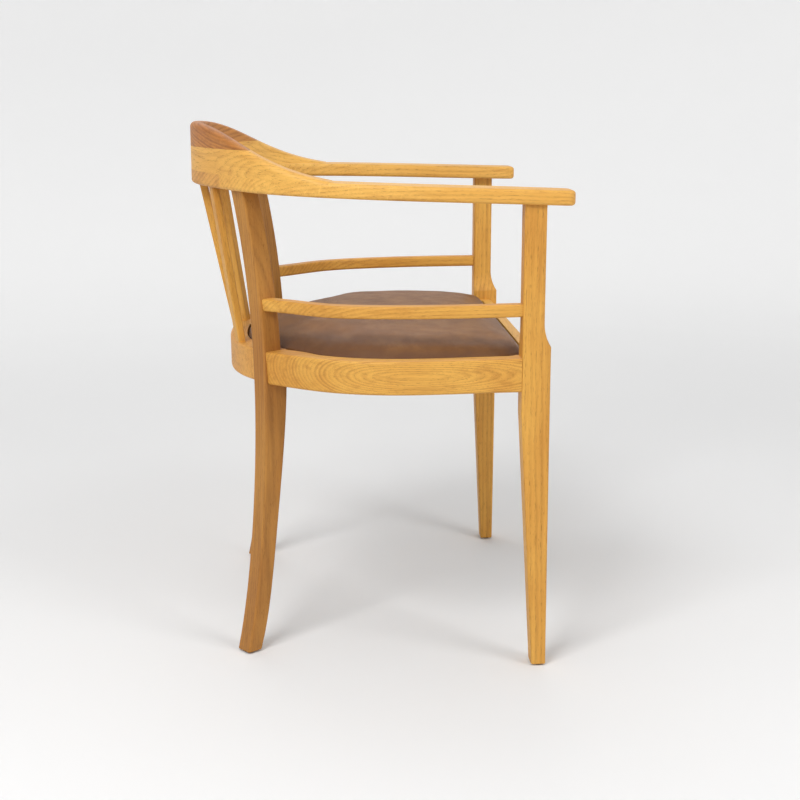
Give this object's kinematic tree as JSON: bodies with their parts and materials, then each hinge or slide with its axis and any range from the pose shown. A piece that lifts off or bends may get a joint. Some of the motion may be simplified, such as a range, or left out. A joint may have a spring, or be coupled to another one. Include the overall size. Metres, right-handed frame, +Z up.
{
  "type": "captains chair",
  "caption": "Oak captains chair with a continuous arm and back bow, a raised laminated crest, slats and a drop-in brown leather seat",
  "frame": {"origin": "centre of the chair's box on the floor", "axes": "+Z up, the sitter faces -Y, +X is the sitter's left"},
  "size_m": [0.6302, 0.54, 0.7709],
  "materials": {
    "oak": "oiled golden oak with open pores, satin",
    "oak_dark": "darker oiled oak boards, satin",
    "beech": "raw planed hardwood",
    "plywood": "raw birch plywood",
    "leather": "smooth brown hide with a soft sheen",
    "foam": "upholstery foam",
    "cloth": "black woven lining",
    "steel": "zinc plated",
    "glide": "dark matt plastic"
  },
  "bodies": {
    "root": {"front_leg_right": "oak", "front_leg_left": "oak", "rear_leg_right": "oak", "rear_leg_left": "oak", "front_seat_rail": "oak", "side_seat_rail_right": "oak", "side_seat_rail_left": "oak", "rear_seat_rail": "oak", "arm_rail_right": "oak", "arm_rail_left": "oak", "arm_right": "oak", "arm_left": "oak", "crest_middle": "oak", "back_slat_right": "oak", "back_slat_centre": "oak", "back_slat_left": "oak", "back_bow": "oak_dark", "crest_top": "oak_dark", "corner_block_front_right": "beech", "corner_block_front_left": "beech", "corner_block_rear_right": "beech", "corner_block_rear_left": "beech", "block_screws": "steel", "seat_screws": "steel", "seat_board": "plywood", "seat_foam": "foam", "seat_cover": "leather", "seat_dust_cover": "cloth", "front_rail_dowels": "beech", "side_rail_dowels": "beech", "rear_rail_dowels": "beech", "arm_rail_dowels": "beech", "leg_dowels": "beech", "bow_tenons": "beech", "glide_front_right": "glide", "glide_front_left": "glide", "glide_rear_right": "glide", "glide_rear_left": "glide"}
  },
  "joints": []
}
